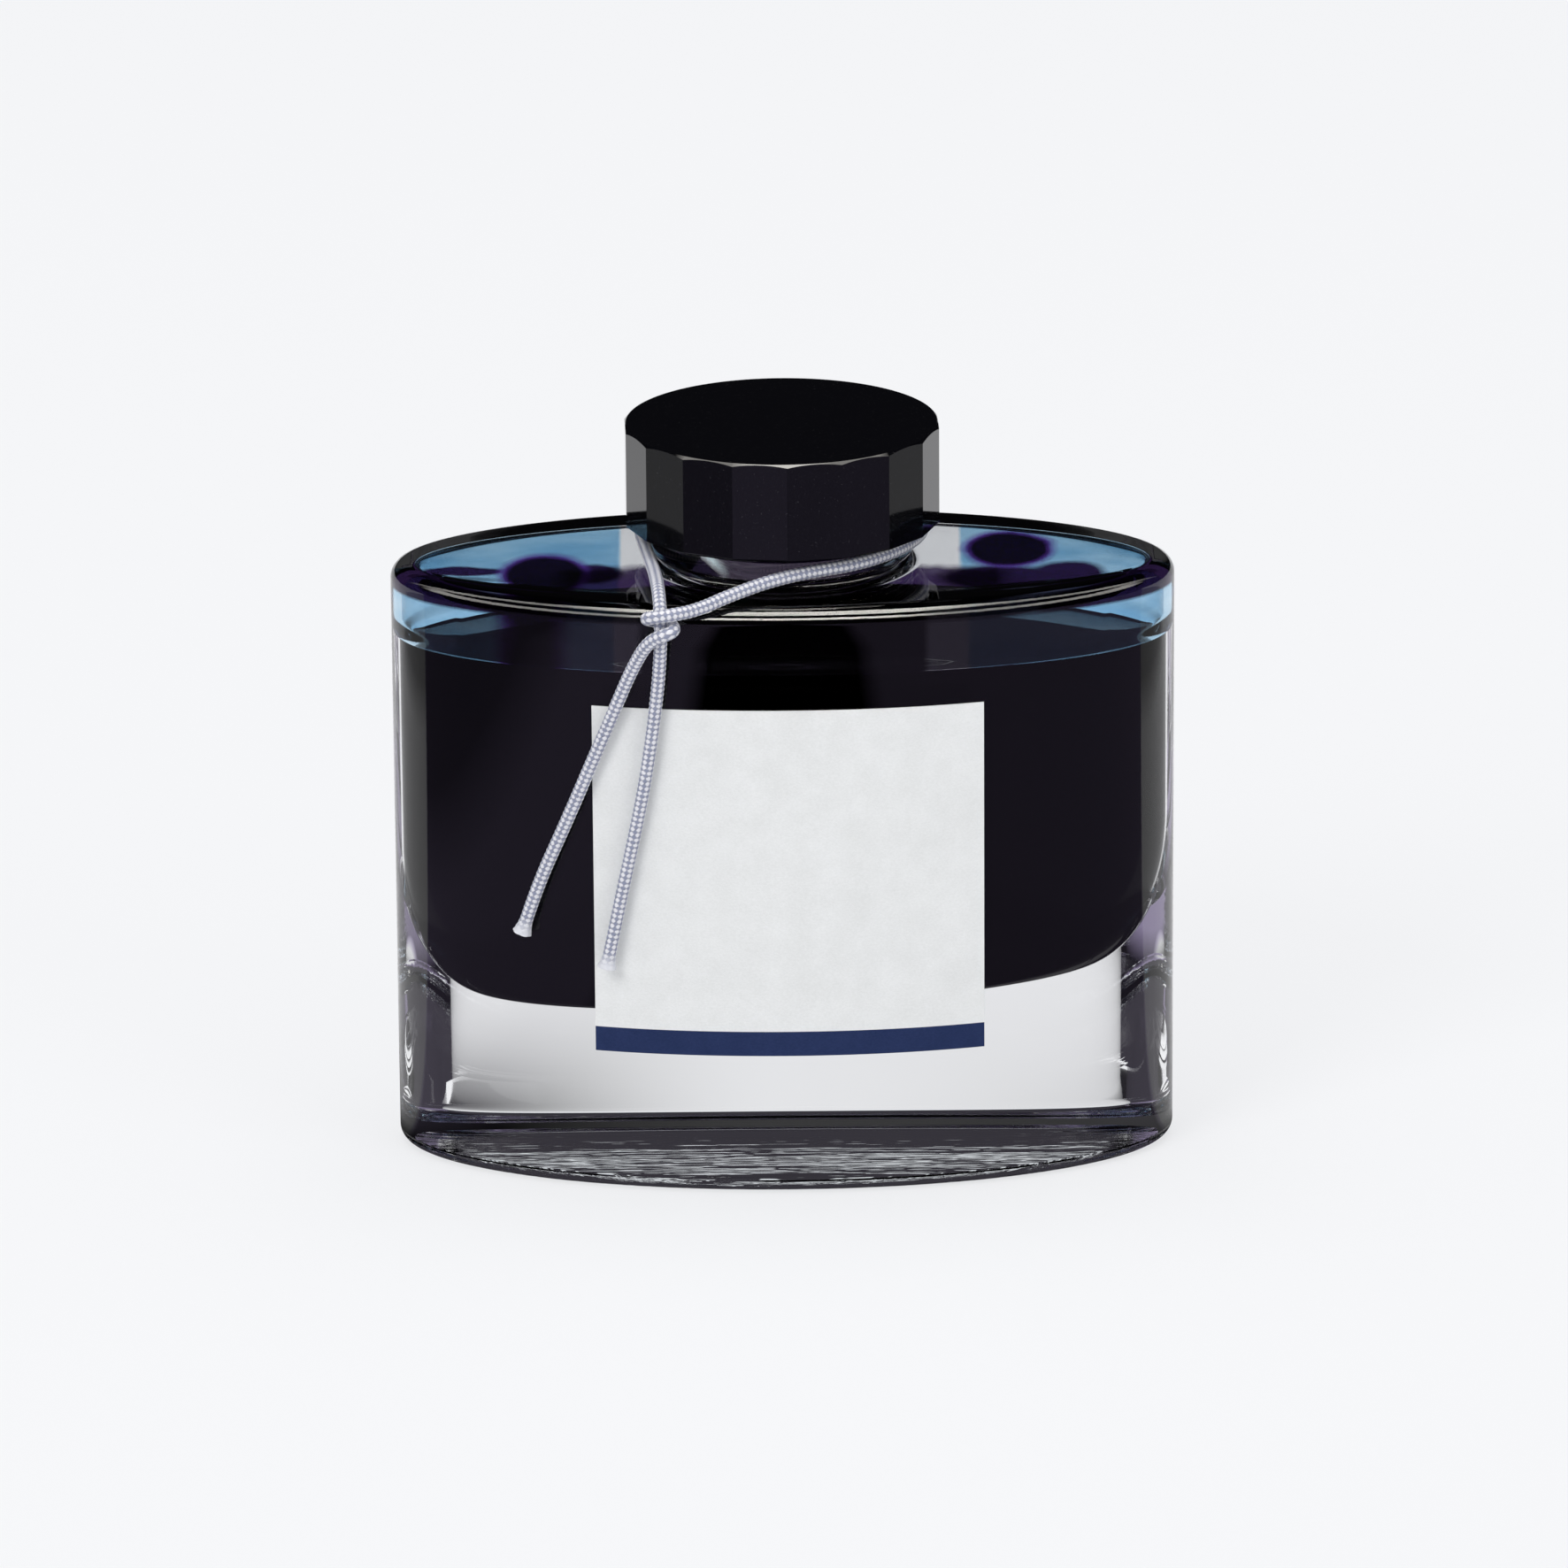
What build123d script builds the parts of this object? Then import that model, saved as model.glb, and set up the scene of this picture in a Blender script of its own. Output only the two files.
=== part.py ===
"""Oval glass ink bottle with a faceted screw cap, a paper label and a tied cord.

Millimetres.  The bottle stands on Z = 0 with its base centre at the origin,
its long axis along X and its labelled front towards -Y.
"""
from build123d import *
import math
import os

# ---- glass body, outside ---------------------------------------------------
BODY_LENGTH = 80.0        # long axis of the oval
BODY_DEPTH = 37.0         # short axis of the oval
SHOULDER_HEIGHT = 62.4    # flat top of the body
SHOULDER_ROUND = 1.8
HEEL_ROUND = 1.6
BEARING_RING = 3.0        # width of the flat ring that the bottle stands on
PUSH_UP = 1.2             # height of the hollow under the base

# ---- glass body, inside ----------------------------------------------------
END_WALL = 3.15           # glass at the two ends of the oval
FRONT_WALL = 5.8          # glass at the front and the back
FLOOR_GLASS = 18.3        # thick clear base, at the middle
FLOOR_LEAN = 0.044        # the floor rises towards the right by this much per mm
ROOF_GLASS = 3.2
FLOOR_BEND_RUN = 3.0      # the floor sweeps up to the front wall over this run
FLOOR_BEND_RISE = 14.8    # and this rise
ROOF_EDGE = 1.0           # slope between the front wall and the roof
WELL_MOUTH_RADIUS = 4.4   # cone in the floor, where the last drops gather
WELL_TIP_RADIUS = 1.2
WELL_DEPTH = 4.5

# ---- neck ------------------------------------------------------------------
STEM_RADIUS = 12.8
STEM_FOOT_EDGE = 0.8      # slope at the foot of the stem
STEM_HEIGHT = 1.0         # shoulder to the underside of the bead
BEAD_RADIUS = 13.5
BEAD_HEIGHT = 2.95
BEAD_ROUND = 0.65
FINISH_RADIUS = 12.2      # plain finish that the screw cap goes over
FINISH_HEIGHT = 7.4
RIM_EDGE = 0.5
BORE_RADIUS = 10.2
BORE_FOOT_EDGE = 0.9

# ---- ink -------------------------------------------------------------------
INK_LEVEL = 54.2
INK_CLEARANCE = 0.05      # between the ink solid and the glass

# ---- cap -------------------------------------------------------------------
CAP_RADIUS = 16.15        # to the corners
CAP_FACETS = 18
CAP_TURNED = 1.9          # degrees from the front to the nearest corner
CAP_EDGE = 0.35           # bevel round the top
CAP_TOP_WALL = 1.2
CAP_SKIRT_WALL = 1.25     # least, at the middle of a facet
CAP_MOUTH_EDGE = 0.3
CAP_GAP = 0.25            # skirt above the bead

# ---- threaded insert inside the cap ----------------------------------------
THREAD_DEPTH = 0.7
THREAD_CLEARANCE = 0.3
INSERT_RECESS = 0.5       # insert's foot above the skirt's foot
INSERT_FIT = 0.05         # press fit inside the skirt
INSERT_TOP_WALL = 0.85
INSERT_EDGE = 0.4

# ---- seal ------------------------------------------------------------------
WAD_THICKNESS = 1.0
WAD_CLEARANCE = 0.2       # round its edge

# ---- label -----------------------------------------------------------------
LABEL_WIDTH = 39.6        # across the front, in plan
LABEL_HEIGHT = 36.8
LABEL_BOTTOM = 15.0
LABEL_OFFSET = 0.4        # to the right of the middle
LABEL_THICKNESS = 0.15
LABEL_GLUE = 0.05

# ---- cord ------------------------------------------------------------------
CORD_DIAMETER = 1.3
CORD_BEND = 0.45          # share of the shorter run that an arc may take
CORD_TIP_DIAMETER = 2.0   # heat-sealed ends, slightly flared
CORD_TIP_LENGTH = 1.8
CORD_ROUTE = [
    # left tail, tip first
    (-26.2, -15.2, 29.0), (-24.9, -15.6, 33.0), (-22.3, -16.4, 39.0),
    (-19.6, -17.2, 45.6), (-17.0, -17.9, 52.0), (-15.1, -18.7, 56.7),
    # half knot: one and a half turns round the left strand, lowest pass first
    (-13.5, -20.9, 59.9), (-10.7, -21.9, 60.9), (-10.7, -18.4, 60.5),
    (-13.8, -18.1, 61.1), (-14.0, -21.1, 62.3), (-11.2, -21.0, 62.5),
    # right strand, from the knot to the neck
    (-8.6, -19.3, 62.6), (-5.0, -17.1, 63.7), (0.4, -14.9, 64.9),
    # round the neck under the cap
    (9.7, -11.9, 65.5), (15.2, -2.1, 65.65), (12.5, 8.9, 65.4),
    (3.1, 15.05, 65.25), (-8.0, 13.1, 65.1), (-14.95, 4.2, 64.95),
    # left strand, over the shoulder and straight down through the knot
    (-13.6, -5.6, 64.4), (-12.8, -12.2, 64.1), (-12.5, -16.7, 63.8),
    (-12.3, -19.4, 62.3), (-12.3, -19.9, 60.4), (-12.4, -19.2, 57.9),
    # right tail, tip last
    (-12.6, -18.8, 54.9), (-13.2, -18.6, 50.0), (-14.1, -18.4, 44.0),
    (-15.4, -18.15, 37.6), (-16.7, -17.95, 31.6), (-17.8, -17.9, 26.2),
]

# ---- sizes that follow from those above --------------------------------------
HALF_LENGTH = BODY_LENGTH / 2
HALF_DEPTH = BODY_DEPTH / 2
CEILING = SHOULDER_HEIGHT - ROOF_GLASS
BEAD_BOTTOM = SHOULDER_HEIGHT + STEM_HEIGHT
BEAD_TOP = BEAD_BOTTOM + BEAD_HEIGHT
RIM = BEAD_TOP + FINISH_HEIGHT
WAD_TOP = RIM + WAD_THICKNESS
INSERT_TOP = WAD_TOP + INSERT_TOP_WALL
CAP_BOTTOM = BEAD_TOP + CAP_GAP
CAP_TOP = INSERT_TOP + CAP_TOP_WALL
SKIRT_BORE = CAP_RADIUS * math.cos(math.pi / CAP_FACETS) - CAP_SKIRT_WALL
INSERT_RADIUS = SKIRT_BORE - INSERT_FIT
INSERT_BORE = FINISH_RADIUS + THREAD_DEPTH + THREAD_CLEARANCE


def oval(length, depth, height):
    """Upright oval block standing on Z = 0."""
    return extrude(Ellipse(length / 2, depth / 2), height)


def turned(*edges):
    """Solid turned about Z from the edges of a half outline in the XZ plane."""
    return revolve(Plane.XZ * make_face(Curve() + list(edges)), Axis.Z)


def chamber(inset=0.0):
    """Space for the ink: a bowl whose floor leans, under a level roof."""
    side = HALF_DEPTH - FRONT_WALL - inset
    end = HALF_LENGTH - END_WALL - inset
    floor = FLOOR_GLASS + inset
    ceiling = CEILING - inset
    floor_edge = side - FLOOR_BEND_RUN
    bend_top = floor + FLOOR_BEND_RISE
    stretch = end / side
    bowl = turned(
        Line((0, floor), (floor_edge, floor)),
        EllipticalCenterArc(
            (floor_edge, bend_top), FLOOR_BEND_RUN, FLOOR_BEND_RISE, 270, arc_size=90
        ),
        Line((side, bend_top), (side, RIM)),
        Line((side, RIM), (0, RIM)),
        Line((0, RIM), (0, floor)),
    )
    leaning = Matrix([
        [stretch, 0, 0, 0],
        [0, 1, 0, 0],
        [FLOOR_LEAN * stretch, 0, 1, 0],
    ])
    roof_edge = side - ROOF_EDGE
    beyond = side + ROOF_EDGE
    under_roof = turned(
        Line((0, 0), (beyond, 0)),
        Line((beyond, 0), (beyond, ceiling - 2 * ROOF_EDGE)),
        Line((beyond, ceiling - 2 * ROOF_EDGE), (roof_edge, ceiling)),
        Line((roof_edge, ceiling), (0, ceiling)),
        Line((0, ceiling), (0, 0)),
    )
    return bowl.transform_geometry(leaning) & scale(under_roof, by=(stretch, 1, 1))


def well(inset=0.0):
    """Cone sunk into the chamber's floor."""
    tip = FLOOR_GLASS - WELL_DEPTH + inset
    mouth = FLOOR_GLASS + WELL_TIP_RADIUS
    slope = (WELL_MOUTH_RADIUS - WELL_TIP_RADIUS) / WELL_DEPTH
    top_radius = WELL_MOUTH_RADIUS + slope * (mouth - FLOOR_GLASS) - inset
    return turned(
        Line((0, tip), (WELL_TIP_RADIUS - inset, tip)),
        Line((WELL_TIP_RADIUS - inset, tip), (top_radius, mouth)),
        Line((top_radius, mouth), (0, mouth)),
        Line((0, mouth), (0, tip)),
    )


def push_up():
    """Shallow hollow under the base, inside the flat bearing ring."""
    ring = HEEL_ROUND + BEARING_RING
    side = HALF_DEPTH - ring
    dome = turned(
        Line((0, 0), (side, 0)),
        ThreePointArc((side, 0), (side / 2, PUSH_UP * 3 / 4), (0, PUSH_UP)),
        Line((0, PUSH_UP), (0, 0)),
    )
    return scale(dome, by=((HALF_LENGTH - ring) / side, 1, 1))


def neck():
    """Stem, bead and finish, rooted in the roof of the chamber."""
    root = SHOULDER_HEIGHT - ROOF_GLASS / 2
    foot = STEM_RADIUS + STEM_FOOT_EDGE
    foot_top = SHOULDER_HEIGHT + STEM_FOOT_EDGE
    bead_core = BEAD_RADIUS - BEAD_ROUND
    rim_edge = FINISH_RADIUS - RIM_EDGE
    return turned(
        Line((0, root), (foot, root)),
        Line((foot, root), (foot, SHOULDER_HEIGHT)),
        Line((foot, SHOULDER_HEIGHT), (STEM_RADIUS, foot_top)),
        Line((STEM_RADIUS, foot_top), (STEM_RADIUS, BEAD_BOTTOM)),
        Line((STEM_RADIUS, BEAD_BOTTOM), (bead_core, BEAD_BOTTOM)),
        CenterArc((bead_core, BEAD_BOTTOM + BEAD_ROUND), BEAD_ROUND, 270, 90),
        Line((BEAD_RADIUS, BEAD_BOTTOM + BEAD_ROUND), (BEAD_RADIUS, BEAD_TOP - BEAD_ROUND)),
        CenterArc((bead_core, BEAD_TOP - BEAD_ROUND), BEAD_ROUND, 0, 90),
        Line((bead_core, BEAD_TOP), (FINISH_RADIUS, BEAD_TOP)),
        Line((FINISH_RADIUS, BEAD_TOP), (FINISH_RADIUS, RIM - RIM_EDGE)),
        Line((FINISH_RADIUS, RIM - RIM_EDGE), (rim_edge, RIM)),
        Line((rim_edge, RIM), (0, RIM)),
        Line((0, RIM), (0, root)),
    )


def bore():
    """Way through the neck, eased at the chamber and at the rim."""
    foot = BORE_RADIUS + BORE_FOOT_EDGE
    foot_top = CEILING + BORE_FOOT_EDGE
    lip = BORE_RADIUS + RIM_EDGE
    below = CEILING - ROOF_EDGE / 2
    return turned(
        Line((0, below), (foot, below)),
        Line((foot, below), (foot, CEILING)),
        Line((foot, CEILING), (BORE_RADIUS, foot_top)),
        Line((BORE_RADIUS, foot_top), (BORE_RADIUS, RIM - RIM_EDGE)),
        Line((BORE_RADIUS, RIM - RIM_EDGE), (lip, RIM)),
        Line((lip, RIM), (0, RIM)),
        Line((0, RIM), (0, below)),
    )


def glass_bottle():
    """Pressed glass bottle: oval block, blown chamber, round neck."""
    body = oval(BODY_LENGTH, BODY_DEPTH, SHOULDER_HEIGHT)
    body = fillet(body.edges().group_by(Axis.Z)[-1], SHOULDER_ROUND)
    body = fillet(body.edges().group_by(Axis.Z)[0], HEEL_ROUND)
    return body + neck() - chamber() - well() - bore() - push_up()


def ink_fill():
    """Ink up to its level, as one solid that fills the chamber below it."""
    filled = chamber(INK_CLEARANCE) + well(INK_CLEARANCE)
    below_level = oval(BODY_LENGTH, BODY_DEPTH, INK_LEVEL)
    return filled & below_level


def front_label():
    """Paper label wrapped on the front wall."""
    inner = 2 * LABEL_GLUE
    outer = inner + 2 * LABEL_THICKNESS
    sleeve = oval(BODY_LENGTH + outer, BODY_DEPTH + outer, LABEL_HEIGHT)
    sleeve -= oval(BODY_LENGTH + inner, BODY_DEPTH + inner, LABEL_HEIGHT)
    front = Pos(LABEL_OFFSET, -BODY_DEPTH / 2, LABEL_HEIGHT / 2)
    window = front * Box(LABEL_WIDTH, BODY_DEPTH, LABEL_HEIGHT)
    return Pos(0, 0, LABEL_BOTTOM) * (sleeve & window)


def cap_shell():
    """Faceted outer cap, bored for its insert."""
    outline = Rot(0, 0, CAP_TURNED - 90) * RegularPolygon(CAP_RADIUS, CAP_FACETS)
    shell = Pos(0, 0, CAP_BOTTOM) * extrude(outline, CAP_TOP - CAP_BOTTOM)
    shell = chamfer(shell.edges().group_by(Axis.Z)[-1], CAP_EDGE)
    standing = (Align.CENTER, Align.CENTER, Align.MIN)
    recess = Cylinder(SKIRT_BORE, INSERT_TOP - CAP_BOTTOM, align=standing)
    shell -= Pos(0, 0, CAP_BOTTOM) * recess
    mouth = shell.faces().filter_by(Axis.Z).group_by(Axis.Z)[0].edges().filter_by(GeomType.CIRCLE)
    return chamfer(mouth, CAP_MOUTH_EDGE)


def cap_insert():
    """Inner closure that carries the screw thread and the seal."""
    foot = CAP_BOTTOM + INSERT_RECESS
    edge_foot = INSERT_TOP - INSERT_EDGE
    edge_top = INSERT_RADIUS - INSERT_EDGE
    return turned(
        Line((INSERT_BORE, foot), (INSERT_RADIUS, foot)),
        Line((INSERT_RADIUS, foot), (INSERT_RADIUS, edge_foot)),
        Line((INSERT_RADIUS, edge_foot), (edge_top, INSERT_TOP)),
        Line((edge_top, INSERT_TOP), (0, INSERT_TOP)),
        Line((0, INSERT_TOP), (0, WAD_TOP)),
        Line((0, WAD_TOP), (INSERT_BORE, WAD_TOP)),
        Line((INSERT_BORE, WAD_TOP), (INSERT_BORE, foot)),
    )


def seal_wad():
    """Soft disc pressed on the rim by the insert."""
    disc = Cylinder(INSERT_BORE - WAD_CLEARANCE, WAD_THICKNESS)
    return Pos(0, 0, RIM + WAD_THICKNESS / 2) * disc


def bend_radii(route):
    """Radius of the arc at each inner point, as large as its two runs allow."""
    radii = []
    for before, point, after in zip(route, route[1:], route[2:]):
        arriving = point - before
        leaving = after - point
        half_turn = math.radians(arriving.get_angle(leaving)) / 2
        shorter = min(arriving.length, leaving.length)
        radii.append(CORD_BEND * shorter / math.tan(half_turn))
    return radii


def cord_tip(path, end, outward):
    """Flared, heat-sealed end, seated on the end face of the tube."""
    seat = Plane(origin=path @ end, z_dir=(path % end) * outward)
    flare = Cone(
        CORD_DIAMETER / 2, CORD_TIP_DIAMETER / 2, CORD_TIP_LENGTH,
        align=(Align.CENTER, Align.CENTER, Align.MIN),
    )
    return seat * flare


def neck_cord():
    """One cord: left tail, half knot, once round the neck, right tail."""
    route = [Vector(*point) for point in CORD_ROUTE]
    radii = bend_radii(route)
    path = FilletPolyline(*route, radius=radii)
    section = Plane(origin=path @ 0, z_dir=path % 0) * Circle(CORD_DIAMETER / 2)
    tube = sweep(section, path)
    expected = math.pi * CORD_DIAMETER ** 2 / 4 * path.length
    print("cord: length", round(path.length, 1), "volume", round(tube.volume, 1),
          "section x length", round(expected, 1))
    print("cord radii:", [round(radius, 1) for radius in radii])
    return tube + cord_tip(path, 0, -1) + cord_tip(path, 1, 1)


PARTS = {
    "glass_bottle": glass_bottle,
    "ink_fill": ink_fill,
    "front_label": front_label,
    "cap_shell": cap_shell,
    "cap_insert": cap_insert,
    "seal_wad": seal_wad,
    "neck_cord": neck_cord,
}

os.makedirs("parts", exist_ok=True)
for name, make in PARTS.items():
    solid = make()
    export_step(solid, f"parts/{name}.step")
    size = solid.bounding_box().size
    print(f"{name}: {len(solid.solids())} solid, {solid.volume / 1000:.2f} ml,",
          f"{size.X:.1f} x {size.Y:.1f} x {size.Z:.1f} mm")
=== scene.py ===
# %% [markdown]
# # An oval ink bottle
#
# The bottle is one pressed piece of clear glass with a thick base, half
# full of dark ink.  It carries a paper label, a faceted black cap and a
# thin braided cord that is tied round its neck.  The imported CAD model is
# the frame: it gives every place and size, and each piece made here
# stands exactly where its CAD twin is.

# %% Load the frame
import math

import bpy
import numpy as np
from mathutils import Matrix, Vector


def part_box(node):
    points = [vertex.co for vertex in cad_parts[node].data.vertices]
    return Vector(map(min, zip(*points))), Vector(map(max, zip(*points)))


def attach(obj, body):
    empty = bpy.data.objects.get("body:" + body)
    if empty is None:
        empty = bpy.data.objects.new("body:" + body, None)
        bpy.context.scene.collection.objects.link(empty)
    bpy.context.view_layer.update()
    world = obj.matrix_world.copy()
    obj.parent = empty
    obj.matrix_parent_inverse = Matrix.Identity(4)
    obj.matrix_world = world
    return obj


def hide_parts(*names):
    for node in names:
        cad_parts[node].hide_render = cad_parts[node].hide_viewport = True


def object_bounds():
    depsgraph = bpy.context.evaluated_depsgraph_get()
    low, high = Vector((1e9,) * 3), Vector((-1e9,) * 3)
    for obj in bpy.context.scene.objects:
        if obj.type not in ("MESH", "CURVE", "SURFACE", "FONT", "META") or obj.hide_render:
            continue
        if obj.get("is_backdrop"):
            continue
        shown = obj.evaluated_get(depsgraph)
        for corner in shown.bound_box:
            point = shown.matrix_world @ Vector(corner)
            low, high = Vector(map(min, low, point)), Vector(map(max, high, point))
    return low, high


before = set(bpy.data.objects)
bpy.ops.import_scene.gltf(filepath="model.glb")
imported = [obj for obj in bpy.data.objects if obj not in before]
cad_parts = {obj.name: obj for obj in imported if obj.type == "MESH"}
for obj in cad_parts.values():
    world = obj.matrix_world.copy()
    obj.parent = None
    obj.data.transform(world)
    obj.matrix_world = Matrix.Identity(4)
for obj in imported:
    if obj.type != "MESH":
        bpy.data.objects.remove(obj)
cad_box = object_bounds()
MM = 0.001
print("CAD box in mm:", [[round(c / MM, 1) for c in corner] for corner in cad_box])

# %% [markdown]
# ## The camera
#
# A long lens from more than a metre away, looking down at 18 degrees.
# The camera's three axes are worked out from its yaw, pitch and roll, and
# become the columns of its matrix.  A long lens keeps the oval's far edge
# nearly as wide as the near one, as in a catalogue picture.

# %% Camera
AIM = Vector((0, 0, 38.01 * MM))
DISTANCE = 1142.86 * MM
LENS = 255.6              # on a sensor 36 wide
PITCH = math.radians(18.038)
YAW = math.radians(0.118)
ROLL = math.radians(-0.419)

level_right = Vector((math.cos(YAW), -math.sin(YAW), 0))
level_ahead = Vector((math.sin(YAW), math.cos(YAW), 0))
down = Vector((0, 0, -1))
look = level_ahead * math.cos(PITCH) + down * math.sin(PITCH)
level_up = level_ahead * math.sin(PITCH) - down * math.cos(PITCH)
right = level_right * math.cos(ROLL) + level_up * math.sin(ROLL)
up = level_up * math.cos(ROLL) - level_right * math.sin(ROLL)

lens = bpy.data.cameras.new("camera")
lens.lens, lens.sensor_width = LENS, 36
lens.clip_start, lens.clip_end = 0.01, 100
camera = bpy.data.objects.new("camera", lens)
turn = Matrix((right, up, -look)).transposed()
camera.matrix_world = Matrix.Translation(AIM - look * DISTANCE) @ turn.to_4x4()
bpy.context.scene.collection.objects.link(camera)
bpy.context.scene.camera = camera
bpy.context.scene.view_settings.view_transform = "Standard"
print("camera stands", round(camera.location.z, 3), "m above the table")

# %% [markdown]
# ## Shader maths as Python
#
# A material is a tree of nodes.  Writing the trees as Python expressions
# keeps them readable, so one small class wraps a node's output and turns
# +, -, * and / into Math nodes.  Its `node` method adds any other node.
# Most masks here are slopes between two places, so `fade` makes one: it
# runs from 0 at its first number to 1 at its second, either way round.

# %% A wire between nodes
class Wire:
    """A node's output, with arithmetic; without a socket, a bare tree."""

    def __init__(self, tree, socket=None):
        self.tree, self.socket = tree, socket

    def node(self, kind, settings=None, values=None, output=0):
        """Adds a node of that kind, and returns the wire from its output."""
        made = self.tree.nodes.new(kind)
        for name, setting in (settings or {}).items():
            if name == "stops":
                ramp = made.color_ramp.elements
                while len(ramp) < len(setting):
                    ramp.new(1)
                for element, (place, colour) in zip(ramp, setting):
                    element.position, element.color = place, (*colour, 1)
            else:
                setattr(made, name, setting)
        for key, value in (values or {}).items():
            if isinstance(value, Wire):
                self.tree.links.new(value.socket, made.inputs[key])
            else:
                made.inputs[key].default_value = value
        return Wire(self.tree, made.outputs[output])

    def math(self, operation, *values):
        settings = {"operation": operation}
        return self.node("ShaderNodeMath", settings, dict(enumerate(values)))

    def __add__(self, other):
        return self.math("ADD", self, other)

    def __sub__(self, other):
        return self.math("SUBTRACT", self, other)

    def __rsub__(self, other):
        return self.math("SUBTRACT", other, self)

    def __mul__(self, other):
        return self.math("MULTIPLY", self, other)

    def __truediv__(self, other):
        return self.math("DIVIDE", self, other)

    __radd__, __rmul__ = __add__, __mul__

    def clamped(self):
        """The same value, held between 0 and 1."""
        return self.node("ShaderNodeClamp", {}, {0: self})

    def fade(self, start, end):
        """0 up to start and 1 past end, with a straight slope between them."""
        return ((self - start) / (end - start)).clamped()

    def root(self):
        return self.math("SQRT", self)

    def size(self):
        """The value without its sign."""
        return self.math("ABSOLUTE", self)

    def or_larger(self, other):
        return self.math("MAXIMUM", self, other)

    def blend(self, low, high):
        """A colour that goes from low to high as this value goes 0 to 1."""
        settings = {"data_type": "RGBA"}
        return self.node("ShaderNodeMix", settings, {0: self, 6: low, 7: high}, 2)

    def shaders(self, low, high):
        """A mix of two shaders, by this value."""
        return self.node("ShaderNodeMixShader", {}, {0: self, 1: low, 2: high})

    def principled(self, **sockets):
        """A Principled shader; value names use _ where sockets have a space."""
        values = {name.replace("_", " "): value for name, value in sockets.items()}
        return self.node("ShaderNodeBsdfPrincipled", {}, values)

    def place(self):
        """Object coordinates, in metres."""
        return self.node("ShaderNodeTexCoord", {}, {}, "Object")

    def axis(self, letter):
        """One of the three numbers in a vector."""
        return self.node("ShaderNodeSeparateXYZ", {}, {0: self}, letter)

    def noise(self, size, detail=2.0, stretch=(1, 1, 1), rough=0.5):
        """Noise whose features are about size metres wide."""
        place = self.node("ShaderNodeMapping", {}, {0: self.place(), "Scale": stretch})
        values = {"Vector": place, "Scale": 1 / size, "Detail": detail,
                  "Roughness": rough}
        return self.node("ShaderNodeTexNoise", {}, values)

    def bump(self, height, depth):
        """A normal roughened by a height between 0 and 1, depth metres deep."""
        return self.node("ShaderNodeBump", {}, {"Height": height, "Distance": depth})


def rgb(red, green, blue):
    return (red, green, blue, 1.0)


def new_material(name):
    """An empty material, and a wire on its tree to build from."""
    material = bpy.data.materials.new(name)
    material.use_nodes = True
    material.node_tree.nodes.clear()
    return material, Wire(material.node_tree)


def output(tree, shader):
    """Ends a tree in its output node."""
    end = tree.tree.nodes.new("ShaderNodeOutputMaterial")
    tree.tree.links.new(shader.socket, end.inputs[0])


print("wires ready")

# %% [markdown]
# ## The cord's line
#
# The cord is one piece, tied: a tail, a half knot on the front left,
# once round the neck under the cap, and a second tail.  Its route is a
# short list of points, the same ones that the CAD tube follows, and a
# NURBS curve through that list gives the smooth line.
# The order is set after the points are added, or the curve keeps order 2.

# %% Cord route
CORD_ROUTE = [
    # left tail, tip first
    (-26.2, -15.2, 29.0), (-24.9, -15.6, 33.0), (-22.3, -16.4, 39.0),
    (-19.6, -17.2, 45.6), (-17.0, -17.9, 52.0), (-15.1, -18.7, 56.7),
    # half knot: one and a half turns round the left strand, lowest pass first
    (-13.4, -20.7, 60.1), (-11.0, -21.5, 61.0), (-11.0, -18.3, 60.9),
    (-13.6, -18.2, 61.4), (-13.7, -20.6, 62.3), (-11.3, -20.7, 62.6),
    # right strand, from the knot to the neck
    (-8.6, -19.3, 62.7), (-5.0, -17.1, 63.7), (0.4, -14.9, 64.9),
    # round the neck under the cap
    (9.7, -11.9, 65.5), (15.2, -2.1, 65.65), (12.5, 8.9, 65.4),
    (3.1, 15.05, 65.25), (-8.0, 13.1, 65.1), (-14.95, 4.2, 64.95),
    # left strand, over the shoulder and straight down through the knot
    (-13.6, -5.6, 64.4), (-12.8, -12.2, 64.1), (-12.5, -16.7, 63.8),
    (-12.3, -19.4, 62.3), (-12.3, -19.9, 60.4), (-12.4, -19.2, 57.9),
    # right tail, tip last
    (-12.6, -18.8, 54.9), (-13.2, -18.6, 50.0), (-14.1, -18.4, 44.0),
    (-15.4, -18.15, 37.6), (-16.7, -17.95, 31.6), (-17.8, -17.9, 26.2),
]

route = bpy.data.curves.new("cord_route", "CURVE")
route.dimensions, route.resolution_u = "3D", 24
spline = route.splines.new("NURBS")
spline.points.add(len(CORD_ROUTE) - 1)
for point, (x, y, z) in zip(spline.points, CORD_ROUTE):
    point.co = (x * MM, y * MM, z * MM, 1)
spline.order_u = 3
spline.use_endpoint_u = True

# %% Read the smooth line
route_object = bpy.data.objects.new("cord_route", route)
bpy.context.scene.collection.objects.link(route_object)
depsgraph = bpy.context.evaluated_depsgraph_get()
line = bpy.data.meshes.new_from_object(route_object.evaluated_get(depsgraph))
drawn = np.array([vertex.co for vertex in line.vertices])
bpy.data.objects.remove(route_object)


def lengths_along(points):
    """Distance from the first point to each point of a line."""
    steps = np.linalg.norm(np.diff(points, axis=0), axis=1)
    return np.concatenate([[0], np.cumsum(steps)])


def resampled(points, step):
    """The same line with points a step apart."""
    along = lengths_along(points)
    places = np.linspace(0, along[-1], int(along[-1] / step) + 1)
    return np.stack([np.interp(places, along, points[:, k]) for k in range(3)], axis=1)


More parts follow.
